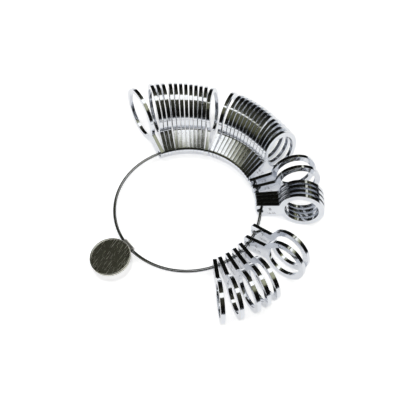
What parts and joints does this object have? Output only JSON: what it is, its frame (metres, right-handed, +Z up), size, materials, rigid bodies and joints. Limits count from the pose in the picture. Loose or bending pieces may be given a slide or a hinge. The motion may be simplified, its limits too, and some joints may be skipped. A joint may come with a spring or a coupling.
{
  "type": "ring sizer gauge set",
  "caption": "Flat steel finger gauges in rising sizes, each a ring with a tab, strung on a round wire hoop that a disc clasp closes.",
  "frame": {"origin": "middle of the object's footprint on the surface that it stands on", "axes": "+Z up; +Y across the hoop towards the largest gauges, along the longest extent; +X to the right of it"},
  "size_m": [0.1126, 0.136, 0.0296],
  "materials": {
    "gauge_steel": "mirror polished stainless steel with fine handling scratches",
    "wire_steel": "drawn bright spring steel wire",
    "clasp_steel": "polished plate with light scratches on the lid",
    "spring_steel": "satin machined steel"
  },
  "bodies": {
    "hoop": {"hoop_wire": "wire_steel", "wire_barrel": "clasp_steel", "clasp_cup": "clasp_steel", "clasp_lid": "clasp_steel", "grub_screw": "spring_steel", "catch_pin": "spring_steel", "catch_spring": "spring_steel"},
    "catch": {"catch_lever": "spring_steel"},
    "gauge_01_body": {"gauge_01": "gauge_steel"},
    "gauge_02_body": {"gauge_02": "gauge_steel"},
    "gauge_03_body": {"gauge_03": "gauge_steel"},
    "gauge_04_body": {"gauge_04": "gauge_steel"},
    "gauge_05_body": {"gauge_05": "gauge_steel"},
    "gauge_06_body": {"gauge_06": "gauge_steel"},
    "gauge_07_body": {"gauge_07": "gauge_steel"},
    "gauge_08_body": {"gauge_08": "gauge_steel"},
    "gauge_09_body": {"gauge_09": "gauge_steel"},
    "gauge_10_body": {"gauge_10": "gauge_steel"},
    "gauge_11_body": {"gauge_11": "gauge_steel"},
    "gauge_12_body": {"gauge_12": "gauge_steel"},
    "gauge_13_body": {"gauge_13": "gauge_steel"},
    "gauge_14_body": {"gauge_14": "gauge_steel"},
    "gauge_15_body": {"gauge_15": "gauge_steel"},
    "gauge_16_body": {"gauge_16": "gauge_steel"},
    "gauge_17_body": {"gauge_17": "gauge_steel"},
    "gauge_18_body": {"gauge_18": "gauge_steel"},
    "gauge_19_body": {"gauge_19": "gauge_steel"},
    "gauge_20_body": {"gauge_20": "gauge_steel"},
    "gauge_21_body": {"gauge_21": "gauge_steel"},
    "gauge_22_body": {"gauge_22": "gauge_steel"},
    "gauge_23_body": {"gauge_23": "gauge_steel"},
    "gauge_24_body": {"gauge_24": "gauge_steel"},
    "gauge_25_body": {"gauge_25": "gauge_steel"},
    "gauge_26_body": {"gauge_26": "gauge_steel"},
    "gauge_27_body": {"gauge_27": "gauge_steel"},
    "gauge_28_body": {"gauge_28": "gauge_steel"},
    "gauge_29_body": {"gauge_29": "gauge_steel"},
    "gauge_30_body": {"gauge_30": "gauge_steel"},
    "gauge_31_body": {"gauge_31": "gauge_steel"},
    "gauge_32_body": {"gauge_32": "gauge_steel"},
    "gauge_33_body": {"gauge_33": "gauge_steel"},
    "gauge_34_body": {"gauge_34": "gauge_steel"},
    "gauge_35_body": {"gauge_35": "gauge_steel"},
    "gauge_36_body": {"gauge_36": "gauge_steel"},
    "gauge_37_body": {"gauge_37": "gauge_steel"},
    "gauge_38_body": {"gauge_38": "gauge_steel"},
    "gauge_39_body": {"gauge_39": "gauge_steel"},
    "gauge_40_body": {"gauge_40": "gauge_steel"}
  },
  "joints": [
    {"name": "catch_pivot", "type": "hinge", "parent": "hoop", "child": "catch", "pos_m": [-0.04035, -0.0351, 0.0042], "axis": [0, 0, 1], "range_deg": [0, 10], "stiffness_Nm_per_rad": 0.02, "springref_deg": -2.86},
    {"name": "gauge_01_swing", "type": "hinge", "parent": "hoop", "child": "gauge_01_body", "pos_m": [0.00203, -0.03919, 0.0042], "axis": [-0.9954, -0.0958, 0], "range_deg": [-30, 40]},
    {"name": "gauge_02_swing", "type": "hinge", "parent": "hoop", "child": "gauge_02_body", "pos_m": [0.00475, -0.03801, 0.0042], "axis": [-0.9588, -0.284, 0], "range_deg": [-30, 40]},
    {"name": "gauge_03_swing", "type": "hinge", "parent": "hoop", "child": "gauge_03_body", "pos_m": [0.00854, -0.03591, 0.0042], "axis": [-0.9164, -0.4003, 0], "range_deg": [-30, 40]},
    {"name": "gauge_04_swing", "type": "hinge", "parent": "hoop", "child": "gauge_04_body", "pos_m": [0.01189, -0.03351, 0.0042], "axis": [-0.9003, -0.4352, 0], "range_deg": [-30, 40]},
    {"name": "gauge_05_swing", "type": "hinge", "parent": "hoop", "child": "gauge_05_body", "pos_m": [0.01496, -0.03074, 0.0042], "axis": [-0.8829, -0.4695, 0], "range_deg": [-30, 40]},
    {"name": "gauge_06_swing", "type": "hinge", "parent": "hoop", "child": "gauge_06_body", "pos_m": [0.01845, -0.02668, 0.0042], "axis": [-0.6655, -0.7391, 0.1045], "range_deg": [-30, 40]},
    {"name": "gauge_07_swing", "type": "hinge", "parent": "hoop", "child": "gauge_07_body", "pos_m": [0.02219, -0.02042, 0.0042], "axis": [-0.7154, -0.6909, 0.1045], "range_deg": [-30, 40]},
    {"name": "gauge_08_swing", "type": "hinge", "parent": "hoop", "child": "gauge_08_body", "pos_m": [0.02558, -0.00783, 0.0042], "axis": [-0.2395, -0.9677, 0.0785], "range_deg": [-30, 40]},
    {"name": "gauge_09_swing", "type": "hinge", "parent": "hoop", "child": "gauge_09_body", "pos_m": [0.0257, -0.00567, 0.0042], "axis": [-0.2192, -0.9725, 0.0785], "range_deg": [-30, 40]},
    {"name": "gauge_10_swing", "type": "hinge", "parent": "hoop", "child": "gauge_10_body", "pos_m": [0.02569, -0.00351, 0.0042], "axis": [-0.1988, -0.9769, 0.0785], "range_deg": [-30, 40]},
    {"name": "gauge_11_swing", "type": "hinge", "parent": "hoop", "child": "gauge_11_body", "pos_m": [0.02555, -0.00125, 0.0042], "axis": [-0.1784, -0.9815, 0.0698], "range_deg": [-30, 40]},
    {"name": "gauge_12_swing", "type": "hinge", "parent": "hoop", "child": "gauge_12_body", "pos_m": [0.02476, 0.00365, 0.0042], "axis": [0.0348, -0.9975, 0.061], "range_deg": [-30, 40]},
    {"name": "gauge_13_swing", "type": "hinge", "parent": "hoop", "child": "gauge_13_body", "pos_m": [0.02348, 0.00799, 0.0042], "axis": [0.0953, -0.9899, 0.1045], "range_deg": [-15, 40]},
    {"name": "gauge_14_swing", "type": "hinge", "parent": "hoop", "child": "gauge_14_body", "pos_m": [0.02221, 0.01104, 0.0042], "axis": [0.5779, -0.781, 0.2368], "range_deg": [-30, 6]},
    {"name": "gauge_15_swing", "type": "hinge", "parent": "hoop", "child": "gauge_15_body", "pos_m": [0.02111, 0.01319, 0.0042], "axis": [0.6454, -0.745, 0.1685], "range_deg": [-30, 6]},
    {"name": "gauge_16_swing", "type": "hinge", "parent": "hoop", "child": "gauge_16_body", "pos_m": [0.0199, 0.01523, 0.0042], "axis": [0.702, -0.7045, 0.1045], "range_deg": [-30, 6]},
    {"name": "gauge_17_swing", "type": "hinge", "parent": "hoop", "child": "gauge_17_body", "pos_m": [0.01858, 0.01717, 0.0042], "axis": [0.7505, -0.6594, 0.0436], "range_deg": [-30, 6]},
    {"name": "gauge_18_swing", "type": "hinge", "parent": "hoop", "child": "gauge_18_body", "pos_m": [0.01718, 0.01896, 0.0042], "axis": [0.7955, -0.606, 0], "range_deg": [-30, 40]},
    {"name": "gauge_19_swing", "type": "hinge", "parent": "hoop", "child": "gauge_19_body", "pos_m": [0.01584, 0.02049, 0.0042], "axis": [0.807, -0.5906, 0], "range_deg": [-30, 40]},
    {"name": "gauge_20_swing", "type": "hinge", "parent": "hoop", "child": "gauge_20_body", "pos_m": [0.01441, 0.02195, 0.0042], "axis": [0.8181, -0.575, 0], "range_deg": [-30, 40]},
    {"name": "gauge_21_swing", "type": "hinge", "parent": "hoop", "child": "gauge_21_body", "pos_m": [0.01291, 0.02332, 0.0042], "axis": [0.829, -0.5592, 0], "range_deg": [-30, 40]},
    {"name": "gauge_22_swing", "type": "hinge", "parent": "hoop", "child": "gauge_22_body", "pos_m": [0.01134, 0.0246, 0.0042], "axis": [0.8396, -0.5432, 0], "range_deg": [-30, 40]},
    {"name": "gauge_23_swing", "type": "hinge", "parent": "hoop", "child": "gauge_23_body", "pos_m": [0.00969, 0.0258, 0.0042], "axis": [0.8499, -0.527, 0], "range_deg": [-30, 40]},
    {"name": "gauge_24_swing", "type": "hinge", "parent": "hoop", "child": "gauge_24_body", "pos_m": [0.00799, 0.02691, 0.0042], "axis": [0.8599, -0.5105, 0], "range_deg": [-30, 40]},
    {"name": "gauge_25_swing", "type": "hinge", "parent": "hoop", "child": "gauge_25_body", "pos_m": [0.00622, 0.02792, 0.0042], "axis": [0.8695, -0.4939, 0], "range_deg": [-30, 40]},
    {"name": "gauge_26_swing", "type": "hinge", "parent": "hoop", "child": "gauge_26_body", "pos_m": [0.00441, 0.02884, 0.0042], "axis": [0.8788, -0.4772, 0], "range_deg": [-30, 40]},
    {"name": "gauge_27_swing", "type": "hinge", "parent": "hoop", "child": "gauge_27_body", "pos_m": [0.00221, 0.02978, 0.0042], "axis": [0.9135, -0.4067, 0], "range_deg": [-30, 40]},
    {"name": "gauge_28_swing", "type": "hinge", "parent": "hoop", "child": "gauge_28_body", "pos_m": [-0.00047, 0.03071, 0.0042], "axis": [0.9721, -0.189, 0.1392], "range_deg": [-30, 4]},
    {"name": "gauge_29_swing", "type": "hinge", "parent": "hoop", "child": "gauge_29_body", "pos_m": [-0.00357, 0.03152, 0.0042], "axis": [0.9971, -0.0767, 0], "range_deg": [-30, 40]},
    {"name": "gauge_30_swing", "type": "hinge", "parent": "hoop", "child": "gauge_30_body", "pos_m": [-0.00557, 0.03188, 0.0042], "axis": [0.9989, -0.0471, 0], "range_deg": [-30, 40]},
    {"name": "gauge_31_swing", "type": "hinge", "parent": "hoop", "child": "gauge_31_body", "pos_m": [-0.00758, 0.03214, 0.0042], "axis": [0.9998, -0.0175, 0], "range_deg": [-30, 40]},
    {"name": "gauge_32_swing", "type": "hinge", "parent": "hoop", "child": "gauge_32_body", "pos_m": [-0.00961, 0.03229, 0.0042], "axis": [0.9999, 0.0122, 0], "range_deg": [-30, 40]},
    {"name": "gauge_33_swing", "type": "hinge", "parent": "hoop", "child": "gauge_33_body", "pos_m": [-0.01165, 0.03233, 0.0042], "axis": [0.9991, 0.0419, 0], "range_deg": [-30, 40]},
    {"name": "gauge_34_swing", "type": "hinge", "parent": "hoop", "child": "gauge_34_body", "pos_m": [-0.01368, 0.03225, 0.0042], "axis": [0.9974, 0.0715, 0], "range_deg": [-30, 40]},
    {"name": "gauge_35_swing", "type": "hinge", "parent": "hoop", "child": "gauge_35_body", "pos_m": [-0.0157, 0.03207, 0.0042], "axis": [0.9949, 0.1011, 0], "range_deg": [-30, 40]},
    {"name": "gauge_36_swing", "type": "hinge", "parent": "hoop", "child": "gauge_36_body", "pos_m": [-0.01772, 0.03177, 0.0042], "axis": [0.9914, 0.1305, 0], "range_deg": [-30, 40]},
    {"name": "gauge_37_swing", "type": "hinge", "parent": "hoop", "child": "gauge_37_body", "pos_m": [-0.02012, 0.03126, 0.0042], "axis": [0.9761, 0.2146, -0.0349], "range_deg": [-30, 20]},
    {"name": "gauge_38_swing", "type": "hinge", "parent": "hoop", "child": "gauge_38_body", "pos_m": [-0.02211, 0.03071, 0.0042], "axis": [0.9671, 0.2519, -0.0349], "range_deg": [-30, 40]},
    {"name": "gauge_39_swing", "type": "hinge", "parent": "hoop", "child": "gauge_39_body", "pos_m": [-0.02407, 0.03005, 0.0042], "axis": [0.9567, 0.2889, -0.0349], "range_deg": [-30, 40]},
    {"name": "gauge_40_swing", "type": "hinge", "parent": "hoop", "child": "gauge_40_body", "pos_m": [-0.02663, 0.029, 0.0042], "axis": [0.8566, 0.5147, -0.0349], "range_deg": [-30, 25]}
  ]
}
